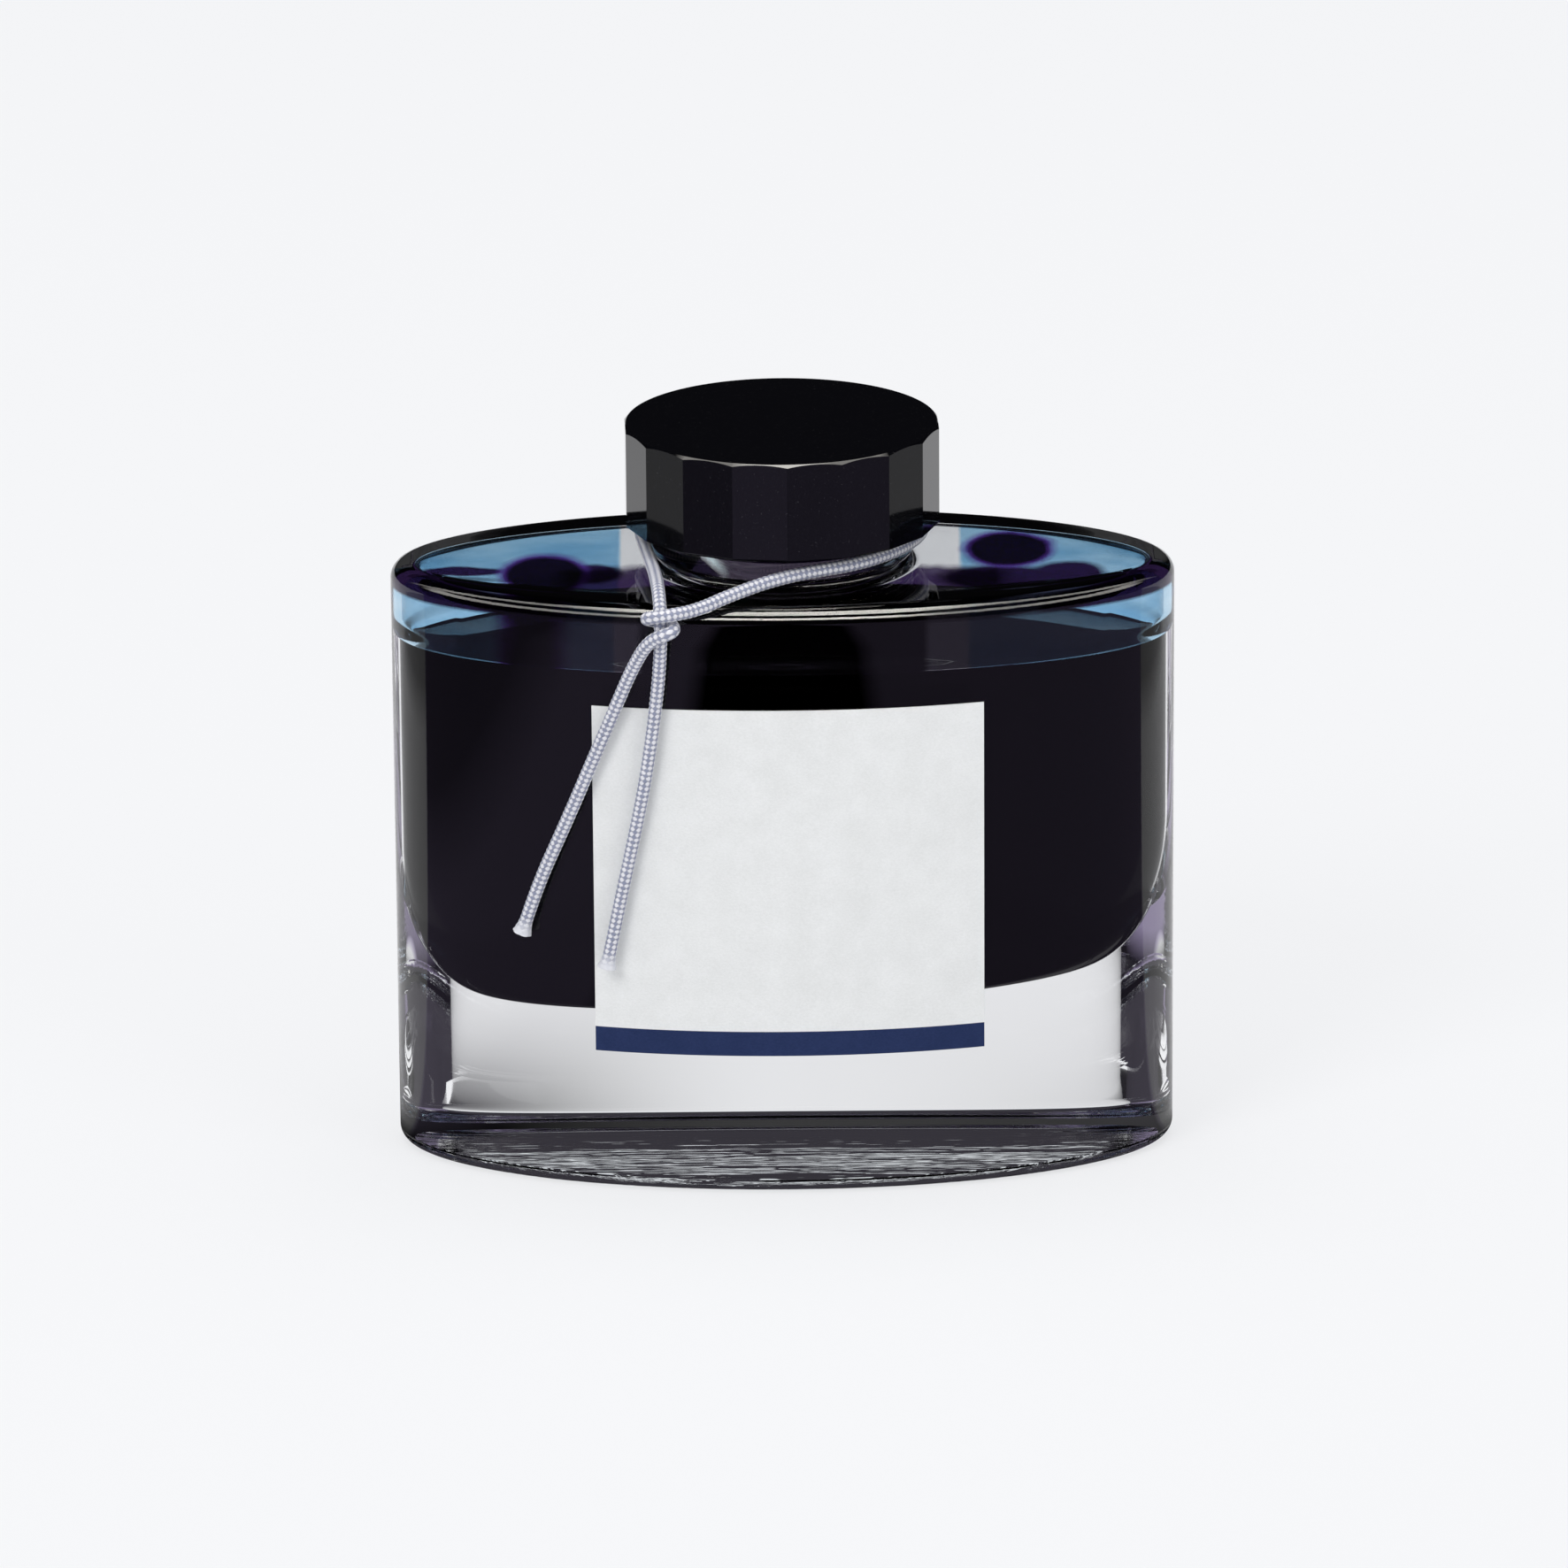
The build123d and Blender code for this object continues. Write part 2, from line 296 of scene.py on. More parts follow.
CORD_TIP = 1.8 * MM       # fused end, past the last point of the route
CORD_STEP = 0.09 * MM
first_way, last_way = drawn[0] - drawn[1], drawn[-1] - drawn[-2]
first_tip = drawn[0] + first_way / np.linalg.norm(first_way) * CORD_TIP
last_tip = drawn[-1] + last_way / np.linalg.norm(last_way) * CORD_TIP
cord_line = resampled(np.vstack([first_tip, drawn, last_tip]), CORD_STEP)
cord_length = lengths_along(cord_line)[-1]
print("cord:", round(cord_length / MM, 1), "mm from tip to tip")

# %% [markdown]
# ## The braid
#
# Twelve yarns, six to the left and six to the right, pass over and under
# each other.  Modelled as geometry, each crossing is a small hump, which
# gives the cord its pearly edge.  Two numbers count the yarns that wind
# each way; where their sum is even one yarn lies on top, and where it is
# odd the other does.

# %% Braided tube
CORD_RADIUS = 0.60 * MM   # of the core; the yarns stand on it
YARN_HEIGHT = 0.085 * MM
YARNS_EACH_WAY = 6
BRAID_PITCH = 0.56 * MM   # along the cord, from one crossing to the next
YARN_DIP = 0.45           # how far a yarn sinks where it goes under
TIP_FLARE = 0.55          # how much wider the fused ends are
AROUND = 48


def travelling_frames(points):
    """Two directions across the line at each point, with no needless twist."""
    ahead = np.gradient(points, axis=0)
    ahead /= np.linalg.norm(ahead, axis=1)[:, None]
    side = np.cross(ahead[0], (0, 0, 1))
    side /= np.linalg.norm(side)
    sides = []
    for way in ahead:
        side = side - way * side.dot(way)
        side /= np.linalg.norm(side)
        sides.append(side)
    sides = np.array(sides)
    return sides, np.cross(ahead, sides)


def braid(along, angle):
    """Height of the yarns, 0 to 1, and which family is on top."""
    left = YARNS_EACH_WAY * angle / math.tau + along / BRAID_PITCH
    right = YARNS_EACH_WAY * angle / math.tau - along / BRAID_PITCH
    left_on_top = (np.floor(left) + np.floor(right)) % 2 == 0
    across_left = 2 * (left % 1) - 1
    across_right = 2 * (right % 1) - 1
    across = np.where(left_on_top, across_left, across_right)
    lengthwise = np.where(left_on_top, across_right, across_left)
    height = np.sqrt(np.clip(1 - across ** 2, 0, 1)) * (1 - YARN_DIP * lengthwise ** 2)
    return height, left_on_top


cord_along = lengths_along(cord_line)
angles = np.linspace(0, math.tau, AROUND, endpoint=False)
height, left_on_top = braid(cord_along[:, None], angles[None, :])
from_end = np.minimum(cord_along, cord_length - cord_along)
fused = np.clip(1 - from_end / CORD_TIP, 0, 1)
core = CORD_RADIUS * (1 + TIP_FLARE * fused ** 2)
radius = core[:, None] + YARN_HEIGHT * height
sides, others = travelling_frames(cord_line)
ring = (np.cos(angles)[None, :, None] * sides[:, None, :]
        + np.sin(angles)[None, :, None] * others[:, None, :])
cord_points = cord_line[:, None, :] + radius[:, :, None] * ring
print("cord mesh:", cord_points.shape[0] * AROUND, "points")

# %% [markdown]
# ## One way to skin every turned piece
#
# Glass, ink, cap, insert and seal are all stacks of closed outlines.  So
# one helper takes a list of rings with the same number of points, joins
# each to the next with four-sided faces, and closes the two ends on a
# single point.  A ring may carry a material number for the band above it.

# %% Skin of rings
def add_object(name, mesh):
    """Puts a mesh into the scene under a name."""
    made = bpy.data.objects.new(name, mesh)
    bpy.context.scene.collection.objects.link(made)
    return made


def skin(name, rings, slots=None, sharp=35):
    """A closed mesh over rings of points; its ends close on their middles."""
    rings = [np.asarray(one, float) for one in rings]
    slots = slots or [0] * len(rings)
    count = len(rings[0])
    faces, face_slots = [], []
    for number in range(len(rings) - 1):
        low, high = number * count, (number + 1) * count
        for j in range(count):
            k = (j + 1) % count
            faces.append((low + j, low + k, high + k, high + j))
            face_slots.append(slots[number])
    first, last = len(rings) * count, len(rings) * count + 1
    points = np.vstack([*rings, rings[0].mean(0), rings[-1].mean(0)])
    top = (len(rings) - 1) * count
    for j in range(count):
        k = (j + 1) % count
        faces.append((first, k, j))
        faces.append((last, top + j, top + k))
        face_slots += [slots[0], slots[-1]]
    mesh = bpy.data.meshes.new(name)
    mesh.from_pydata(points.tolist(), [], faces)
    mesh.polygons.foreach_set("material_index", face_slots)
    mesh.shade_smooth()
    mesh.set_sharp_from_angle(angle=math.radians(sharp))
    mesh.update()
    return add_object(name, mesh)


def store(mesh, name, values):
    """Keeps one number for each point of a mesh, for its material to read."""
    attribute = mesh.attributes.new(name, "FLOAT", "POINT")
    attribute.data.foreach_set("value", np.asarray(values, np.float32).ravel())


# %% [markdown]
# The braid's rings become the cord's mesh. Which yarn is on top, how high
# it stands and where the ends are fused are kept point by point, so that
# the yarn's material can read them.

# %% Cord piece
cord = skin("cord", cord_points)
ends = [0.0, 0.0]         # the two points that close the tube
store(cord.data, "light_yarn", np.append(left_on_top.astype(float).ravel(), ends))
store(cord.data, "yarn_height", np.append(height.ravel(), ends))
store(cord.data, "fused", np.append(np.repeat(fused, AROUND), [1.0, 1.0]))
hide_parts("neck_cord")
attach(cord, "bottle")
print("cord in place")

# %% [markdown]
# ## The glass
#
# Pressed glass is one closed surface: up the outside, over the rim, and
# down the inside to the well in the thick floor.  The outlines go from
# oval to round on the flat shoulder and back to oval under it.  An oval
# is moved inwards along its own normal, not scaled, so that the rounding
# of the shoulder keeps one radius all the way round.  The stem grows out
# of the shoulder through a hollow fillet that is wider than it is high.

# %% Oval and round outlines
POINTS_ROUND = 384
turn_angles = np.linspace(0, math.tau, POINTS_ROUND, endpoint=False)
COS, SIN = np.cos(turn_angles), np.sin(turn_angles)


def oval(half_length, half_depth, z, inset=0.0):
    """Oval outline at one height, moved inwards by inset."""
    lean_x, lean_y = COS / half_length, SIN / half_depth
    size = np.hypot(lean_x, lean_y)
    x = half_length * COS - inset * lean_x / size
    y = half_depth * SIN - inset * lean_y / size
    return np.stack([x, y, np.full_like(x, z)], axis=1)


def circle(radius, z):
    return oval(radius, radius, z)


def between(low, high, steps):
    """Rings spaced evenly between two outlines, ends left out."""
    shares = np.linspace(0, 1, steps + 2)[1:-1]
    return [low * (1 - share) + high * share for share in shares]


def quarter(steps):
    """Sine and cosine of angles that go from 0 to 90 degrees."""
    return [(math.sin(a), math.cos(a)) for a in np.linspace(0, math.pi / 2, steps + 1)]


# %% Glass sizes
HALF_LENGTH, HALF_DEPTH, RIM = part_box("glass_bottle")[1]
SHOULDER = 62.4 * MM
SHOULDER_ROUND = 1.8 * MM
HEEL_ROUND = 1.6 * MM
BEARING_RING = 3.0 * MM   # flat foot round the hollow base
PUSH_UP = 1.2 * MM
CHAMBER_END = HALF_LENGTH - 3.15 * MM
CHAMBER_SIDE = HALF_DEPTH - 5.8 * MM
FLOOR, CEILING = 18.3 * MM, 60.6 * MM
FLOOR_LEAN = 0.044        # rise of the floor for each unit towards the right
BEND_RUN, BEND_RISE = 3.0 * MM, 14.8 * MM   # from the floor into the wall
ROOF_BEND = 0.8 * MM
FLARE_END, FLARE_SIDE = 0.9 * MM, 2.1 * MM   # wider at the roof than at the ink
FLARE_RISE = 2.4 * MM
WELL_MOUTH, WELL_TIP, WELL_DEPTH = 4.4 * MM, 1.2 * MM, 4.5 * MM
STEM, STEM_FOOT, STEM_RISE = 12.8 * MM, 1.5 * MM, 0.95 * MM
BEAD, BEAD_ROUND = 13.5 * MM, 0.65 * MM
BEAD_LOW, BEAD_HIGH = 63.4 * MM, 66.35 * MM
FINISH, RIM_ROUND = 12.2 * MM, 0.5 * MM
BORE, BORE_FOOT = 10.2 * MM, 0.9 * MM
WET_BELOW_RIM = 4 * MM    # the ink's film ends here in the bore
INK_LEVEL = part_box("ink_fill")[1].z
print("ink level", round(INK_LEVEL / MM, 2), "mm")

# %% [markdown]
# The screw thread is a ridge that climbs round the finish.  It isn't in
# the CAD solids, because it would only slow the physics down, so it is
# made here: a ring's radius depends on how far each point is from the
# nearest turn of the helix.  The insert in the cap carries the same
# helix half a pitch higher, facing inwards, so the two slide past.

# %% Thread
THREAD_PITCH = 3.0 * MM
THREAD_START = 67.7 * MM
THREAD_TURNS = 1.25
THREAD_HALF_WIDTH = 0.72 * MM
THREAD_DEPTH = 0.7 * MM
THREAD_RINGS = 0.14 * MM  # from one ring of the mesh to the next
RUN_IN = 0.06             # part of a turn over which the ridge starts


def thread(z, start):
    """Height of the ridge, 0 to 1, round one ring at height z."""
    ridge = np.zeros_like(turn_angles)
    for lap in range(3):
        turned = turn_angles / math.tau + lap
        reach = np.abs(z - start - THREAD_PITCH * turned) / THREAD_HALF_WIDTH
        flank = np.clip(1.6 * (1 - reach), 0, 1)
        starting = np.clip(turned / RUN_IN, 0, 1)
        ending = np.clip((THREAD_TURNS - turned) / RUN_IN, 0, 1)
        height = flank * flank * (3 - 2 * flank) * (starting * ending)
        ridge = np.maximum(ridge, height)
    return ridge


def threaded(radius, depth, z, start):
    """Round outline that stands out by depth where the ridge passes."""
    reach = radius + depth * thread(z, start)
    return np.stack([reach * COS, reach * SIN, np.full_like(reach, z)], axis=1)


# %% Glass outside
def outside():
    """Rings from the middle of the base up to the stem's bead and rim."""
    ring_edge = HEEL_ROUND + BEARING_RING
    dome_x, dome_y = HALF_LENGTH - ring_edge, HALF_DEPTH - ring_edge
    rings = [oval(f * dome_x, f * dome_y, PUSH_UP * (1 - f * f))
             for f in np.linspace(0.04, 1, 14)]
    rings += [oval(HALF_LENGTH, HALF_DEPTH, 0, inset)
              for inset in (ring_edge * 0.66, HEEL_ROUND * 1.1)]
    rings += [oval(HALF_LENGTH, HALF_DEPTH, HEEL_ROUND * (1 - c), HEEL_ROUND * (1 - s))
              for s, c in quarter(10)]
    wall_top = SHOULDER - SHOULDER_ROUND
    rings += [oval(HALF_LENGTH, HALF_DEPTH, z)
              for z in np.linspace(HEEL_ROUND, wall_top, 26)[1:-1]]
    rings += [oval(HALF_LENGTH, HALF_DEPTH, wall_top + SHOULDER_ROUND * s,
                   SHOULDER_ROUND * (1 - c)) for s, c in quarter(14)]
    foot = STEM + STEM_FOOT
    edge = oval(HALF_LENGTH, HALF_DEPTH, SHOULDER, SHOULDER_ROUND * 1.06)
    near_foot = circle(foot * 1.01, SHOULDER)
    rings += [edge, *between(edge, near_foot, 6), near_foot]
    rings += [circle(foot - STEM_FOOT * s, SHOULDER + STEM_RISE * (1 - c))
              for s, c in quarter(14)]
    core = BEAD - BEAD_ROUND
    rings += [circle(core + BEAD_ROUND * s, BEAD_LOW + BEAD_ROUND * (1 - c))
              for s, c in quarter(8)]
    rings += [circle(core + BEAD_ROUND * c, BEAD_HIGH - BEAD_ROUND * (1 - s))
              for s, c in quarter(8)]
    rings.append(circle(FINISH * 1.005, BEAD_HIGH))
    heights = np.arange(BEAD_HIGH + 0.1 * MM, RIM - RIM_ROUND, THREAD_RINGS)
    rings += [threaded(FINISH, THREAD_DEPTH, z, THREAD_START) for z in heights]
    rings += [circle(FINISH - RIM_ROUND * (1 - c), RIM - RIM_ROUND * (1 - s))
              for s, c in quarter(6)]
    return rings


# %% [markdown]
# The chamber's floor leans up a little towards the right and bends into
# the walls.  Just above the ink the walls flare out, at the back and the
# ends only, so the wet roof reaches nearly to the shoulder's edge.  The
# front wall stays straight: a flare there would bend streaks of light
# into the dark band over the ink.  The roof meets the bore in a soft edge.

# %% Chamber
def flared(end, side, z, share, shy=0.0):
    """Outline that widens by a share of the flare at the back, not at the front."""
    plain = oval(end - shy, side - shy, z)
    wide = oval(end + FLARE_END * share - shy, side + FLARE_SIDE * share - shy, z)
    return plain + (wide - plain) * np.clip(SIN * 2 + 1, 0, 1)[:, None]


def chamber(inset, top):
    """Rings of the chamber from a height top down to its well, moved in."""
    side, end = CHAMBER_SIDE - inset, CHAMBER_END - inset
    stretch = end / side
    floor, ceiling = FLOOR + inset, CEILING - inset
    rings = []
    for s, c in quarter(8):
        z, shy = ceiling - ROOF_BEND * (1 - c), ROOF_BEND * (1 - s)
        rings.append(flared(end, side, z, 1, shy))
    bend_top = floor + BEND_RISE
    for z in np.linspace(ceiling - ROOF_BEND, INK_LEVEL, 24)[1:-1]:
        share = 0.5 - 0.5 * math.cos(math.pi * min((z - INK_LEVEL) / FLARE_RISE, 1))
        rings.append(flared(end, side, z, share))
    rings += [oval(end, side, z) for z in np.linspace(INK_LEVEL, bend_top, 16)[:-1]]
    for s, c in quarter(32):
        reach = side - BEND_RUN * (1 - c)
        rings.append(oval(reach * stretch, reach, bend_top - BEND_RISE * s))
    flat = side - BEND_RUN
    mouth = circle(WELL_MOUTH - inset, floor)
    rings += [*between(oval(flat * stretch, flat, floor), mouth, 3), mouth]
    rings += between(mouth, circle(WELL_TIP - inset, floor - WELL_DEPTH), 3)
    rings += [circle((WELL_TIP - inset) * f, floor - WELL_DEPTH) for f in (1, 0.9, 0.2)]
    for ring in rings:
        below = (INK_LEVEL - ring[0, 2]) / (INK_LEVEL - bend_top)
        ring[:, 2] += FLOOR_LEAN * ring[:, 0] * min(max(below, 0), 1)
    return [ring for ring in rings if ring[0, 2] <= top + 1e-9]


# %% Glass inside
def inside():
    """Rings from the rim down the bore and round the chamber."""
    lip, foot = BORE + RIM_ROUND, BORE + BORE_FOOT
    rings = [circle(lip - RIM_ROUND * s, RIM - RIM_ROUND * (1 - c))
             for s, c in quarter(6)]
    heights = np.linspace(RIM - RIM_ROUND, CEILING + BORE_FOOT, 8)[1:-1]
    rings += [circle(BORE, z) for z in heights]
    rings += [circle(foot - BORE_FOOT * c, CEILING + BORE_FOOT * (1 - s))
              for s, c in quarter(8)]
    below = chamber(0, CEILING)
    rings += between(circle(foot, CEILING), below[0], 5)
    return rings + below


outer, inner = outside(), inside()
glass_rings = outer + inner
CLEAR, INKED = 0, 1
glass_slots = [CLEAR] * len(glass_rings)
for number in range(len(outer), len(glass_rings)):
    z = glass_rings[number][0, 2]
    if INK_LEVEL - 0.01 * MM < z < RIM - WET_BELOW_RIM:
        glass_slots[number] = INKED
glass = skin("glass", glass_rings, glass_slots)
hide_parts("glass_bottle")
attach(glass, "bottle")
print("glass:", len(glass_rings), "rings")

# %% [markdown]
# ## The ink
#
# Where ink touches glass there is no air, so the ink's skin is set a
# hair's breadth into the glass: light then meets glass and ink with
# nothing between them.  At the top the ink climbs the wall a little,
# which gives the thin bright line of a meniscus.

# %% Ink body
INTO_GLASS = 0.02 * MM
MENISCUS = 0.15 * MM
MENISCUS_REACH = 1.0 * MM
SURFACE_INSETS = (0, 0.15, 0.35, 0.6, 0.9, 1.3, 1.8, 2.5, 3.5, 6, 9, 12.5)   # mm


def ink_wall():
    """Rings from the well up the wall, where ink meets glass."""
    return chamber(-INTO_GLASS, INK_LEVEL)[::-1]


def ink_surface():
    """Rings in across the surface, where ink meets air."""
    rings = []
    end, side = CHAMBER_END + INTO_GLASS, CHAMBER_SIDE + INTO_GLASS
    for inset in SURFACE_INSETS:
        rise = MENISCUS * math.exp(-inset * MM / MENISCUS_REACH)
        share = 1 - inset * MM / side
        half_length = end - inset * MM * (share + 1) / 2
        rings.append(oval(half_length, side - inset * MM, INK_LEVEL + rise))
    return rings


AGAINST_GLASS, AGAINST_AIR = 0, 1
wall, surface = ink_wall(), ink_surface()
ink = skin("ink", wall + surface,
           [AGAINST_GLASS] * len(wall) + [AGAINST_AIR] * len(surface), sharp=50)
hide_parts("ink_fill")
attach(ink, "bottle")
print("ink up to", round(INK_LEVEL / MM, 1), "mm")

# %% [markdown]
# ## The label
#
# A paper label bends round the front wall, so its two faces are strips of
# the same oval, a little further out than the glass.  The paper has its
# real thickness, which gives it a bright cut edge, and stands on its glue.

# %% Label sheet
label_low, label_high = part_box("front_label")
PAPER = 0.15 * MM
GLUE = 0.05 * MM


def label_face(offset, columns=120, rows=96):
    """Points of one face of the label, offset outwards from the glass."""
    x = np.linspace(label_low.x, label_high.x, columns)
    z = np.linspace(label_low.z, label_high.z, rows)
    half_length, half_depth = HALF_LENGTH + offset, HALF_DEPTH + offset
    y = -half_depth * np.sqrt(1 - (x / half_length) ** 2)
    grid_x, grid_z = np.meshgrid(x, z)
    return np.stack([grid_x, np.broadcast_to(y, grid_x.shape), grid_z], axis=2)


def sheet_mesh(name, front, back):
    """Closed thin sheet from two grids of points."""
    rows, columns = front.shape[:2]
    number = np.arange(rows * columns).reshape(rows, columns)
    other = number + rows * columns
    faces = []
    for r in range(rows - 1):
        for c in range(columns - 1):
            faces.append((number[r, c], number[r, c + 1],
                          number[r + 1, c + 1], number[r + 1, c]))
            faces.append((other[r, c], other[r + 1, c],
                          other[r + 1, c + 1], other[r, c + 1]))
    rim = [*number[0], *number[1:, -1], *number[-1, -2::-1], *number[-2:0:-1, 0]]
    back_rim = [*other[0], *other[1:, -1], *other[-1, -2::-1], *other[-2:0:-1, 0]]
    for k in range(len(rim)):
        n = (k + 1) % len(rim)
        faces.append((rim[k], back_rim[k], back_rim[n], rim[n]))
    mesh = bpy.data.meshes.new(name)
    points = np.vstack([front.reshape(-1, 3), back.reshape(-1, 3)])
    faces = [tuple(int(corner) for corner in face) for face in faces]
    mesh.from_pydata(points.tolist(), [], faces)
    mesh.shade_smooth()
    mesh.set_sharp_from_angle(angle=math.radians(40))
    return add_object(name, mesh)


label = sheet_mesh("label", label_face(GLUE + PAPER), label_face(GLUE))
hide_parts("front_label")
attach(label, "bottle")
print("label", round((label_high.x - label_low.x) / MM, 1), "mm wide")

# %% [markdown]
# ## The cap
#
# The black cap has 18 flat facets.  Moulded plastic has no knife edges,
# so each upright corner gets a small arc.  The top edge is turned as a
# shallow cone: it cuts deepest into the corners and least into the middle
# of each flat, which leaves the round top and the wavy edge that such
# caps have.  The flats get points along them, so that the cone can follow
# the wave.  A Weighted Normal modifier keeps the flats looking flat.

# %% Cap shell
shell_low, shell_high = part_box("cap_shell")
insert_low, insert_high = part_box("cap_insert")
FACETS = 18
CAP_RADIUS = 16.15 * MM
CAP_TURNED = math.radians(1.9 - 90)   # one corner is nearly at the front
CORNER_ROUND = 0.13 * MM
CORNER_STEPS, FLAT_STEPS = 5, 6
CAP_BEVEL = 0.31 * MM
TOP_RADIUS = CAP_RADIUS - CAP_BEVEL
TOP_INSETS = (0, 0.1, 1.2, 5, 10)     # mm
SKIRT_BORE = insert_high.x + 0.05 * MM
MOUTH_EDGE = 0.3 * MM
FOOT_ROUND, FOOT_CUT = 0.12 * MM, 0.035 * MM


def faceted(inset, z):
    """Outline with 18 flats and rounded corners, moved inwards by inset."""
    half_facet = math.pi / FACETS
    flat = CAP_RADIUS * math.cos(half_facet) - inset
    corner = (flat - CORNER_ROUND) / math.cos(half_facet)
    half_flat = corner * math.sin(half_facet)
    points = []
    for number in range(FACETS):
        middle = CAP_TURNED + number * 2 * half_facet
        for way in np.linspace(middle - half_facet, middle + half_facet, CORNER_STEPS):
            points.append((corner * math.cos(middle) + CORNER_ROUND * math.cos(way),
                           corner * math.sin(middle) + CORNER_ROUND * math.sin(way), z))
        facing = middle + half_facet
        for along in np.linspace(-half_flat, half_flat, FLAT_STEPS + 2)[1:-1]:
            points.append((flat * math.cos(facing) - along * math.sin(facing),
                           flat * math.sin(facing) + along * math.cos(facing), z))
    return np.array(points)


def round_like(outline, radius, z):
    """A circle with its points at the same angles as an outline's."""
    reach = np.hypot(outline[:, 0], outline[:, 1])
    return np.stack([outline[:, 0] / reach * radius, outline[:, 1] / reach * radius,
                     np.full(len(outline), z)], axis=1)


def shell_rings():
    """Rings from the roof inside, down the skirt's bore and up the facets."""
    plan = faceted(0, 0)
    top, foot, roof = shell_high.z, shell_low.z, insert_high.z
    rings = [round_like(plan, SKIRT_BORE * f, roof) for f in (0.5, 0.99, 1)]
    rings += [round_like(plan, SKIRT_BORE, roof - 0.1 * MM),
              round_like(plan, SKIRT_BORE, foot + MOUTH_EDGE),
              round_like(plan, SKIRT_BORE + MOUTH_EDGE, foot)]
    rings += [faceted(FOOT_ROUND, foot), faceted(FOOT_CUT, foot + FOOT_CUT),
              faceted(0, foot + FOOT_ROUND)]
    heights = np.linspace(foot + 0.3 * MM, top - CAP_BEVEL - 0.05 * MM, 6)
    rings += [faceted(0, z) for z in heights]
    wave = faceted(0, top)
    wave[:, 2] -= np.hypot(wave[:, 0], wave[:, 1]) - TOP_RADIUS
    rings.append(wave)
    rings += [round_like(plan, TOP_RADIUS - inset * MM, top) for inset in TOP_INSETS]
    return rings


shell = skin("cap", shell_rings(), sharp=30)
weighted = shell.modifiers.new("flat facets", "WEIGHTED_NORMAL")
weighted.keep_sharp = True
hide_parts("cap_shell")
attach(shell, "cap")
print("cap:", FACETS, "facets")

# %% [markdown]
# ## Inside the cap
#
# The insert is a plain moulded cup with the screw thread, pressed into the
# shell, and the soft disc seals the rim.  They show when the cap lifts.

# %% Insert and seal
wad_low, wad_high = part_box("seal_wad")
INSERT = insert_high.x
INSERT_BORE = 13.2 * MM
INSERT_THREAD = 0.6 * MM
INSERT_EDGE = 0.4 * MM
INSERT_LIP_IN, INSERT_LIP_OUT = 0.2 * MM, 0.15 * MM
WAD_EDGE = 0.2 * MM
RIM_MARK = 0.06 * MM      # how deep the rim has pressed into the seal


def insert_rings():
    """Rings from the middle of the roof inside, down the thread and up outside."""
    roof, foot, top = wad_high.z, insert_low.z, insert_high.z
    rings = [circle(INSERT_BORE * f, roof) for f in (0.3, 0.97, 1)]
    heights = np.arange(roof - 0.1 * MM, foot + 0.3 * MM, -THREAD_RINGS)
    start = THREAD_START + THREAD_PITCH / 2
    rings += [threaded(INSERT_BORE, -INSERT_THREAD, z, start) for z in heights]
    rings += [circle(INSERT_BORE, foot + INSERT_LIP_IN),
              circle(INSERT_BORE + INSERT_LIP_IN, foot),
              circle(INSERT - INSERT_LIP_OUT, foot),
              circle(INSERT, foot + INSERT_LIP_OUT)]
    rings += [circle(INSERT, top - INSERT_EDGE),
              circle(INSERT - INSERT_EDGE, top), circle(INSERT * 0.5, top)]
    return rings


def wad_rings():
    """A soft disc, marked by the rim on its underside."""
    reach, low, high = wad_high.x, wad_low.z, wad_high.z
    rings = [circle(reach * 0.3, low), circle(BORE, low)]
    for share in np.linspace(0.1, 0.9, 9):
        rise = RIM_MARK * math.sin(share * math.pi)
        rings.append(circle(BORE + share * (FINISH - BORE), low + rise))
    rings += [circle(FINISH, low), circle(reach - WAD_EDGE, low)]
    rings += [circle(reach - WAD_EDGE * (1 - s), low + WAD_EDGE * (1 - c))
              for s, c in quarter(5)]
    rings += [circle(reach - WAD_EDGE * (1 - c), high - WAD_EDGE * (1 - s))
              for s, c in quarter(5)]
    return rings + [circle(reach * 0.5, high)]


insert = skin("insert", insert_rings(), sharp=40)
wad = skin("seal", wad_rings(), sharp=40)
for piece, node, slot, body in ((insert, "cap_insert", "cap_liner", "cap"),
                                (wad, "seal_wad", "seal_foam", "seal")):
    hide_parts(node)
    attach(piece, body)
print("insert and seal in place")

# %% [markdown]
# ## Glass and ink as materials
#
# The glass is a Principled shader with full transmission and no roughness.
# Its underside was pressed on a cold plate, and keeps a flow grain that
# breaks up the light in the heel.  A bump on the front of that face alone
# gives it.

# %% Clear glass
GLASS_IOR = 1.52
INK_IOR = 1.34

clear_glass, tree = new_material("clear glass")
y, z = tree.place().axis("Y"), tree.place().axis("Z")
flow = tree.noise(1.6 * MM, 3.0, (0.09, 1, 1))
on_base = z.fade(1.5 * MM, 1.3 * MM) * y.fade(5 * MM, 2.5 * MM)
output(tree, tree.principled(
    Base_Color=rgb(0.975, 0.985, 0.99), Roughness=0.0, IOR=GLASS_IOR,
    Transmission_Weight=1.0, Normal=tree.bump(flow * on_base, 0.16 * MM)))
glass.data.materials.append(clear_glass)
print("clear glass ready")

# %% [markdown]
# Above the ink the chamber's walls are wet.  The film is thin, so it is
# not modelled: it is the same glass with a tint, and a list of masks says
# where a darker or clearer tint lies over it.  Noise makes it run from
# pale to deep blue, and round the neck the roof has run dry.  Where ink
# has gathered under the roof it is nearly black: two round puddles with
# violet edges, a few stains, and a line along the front corner.

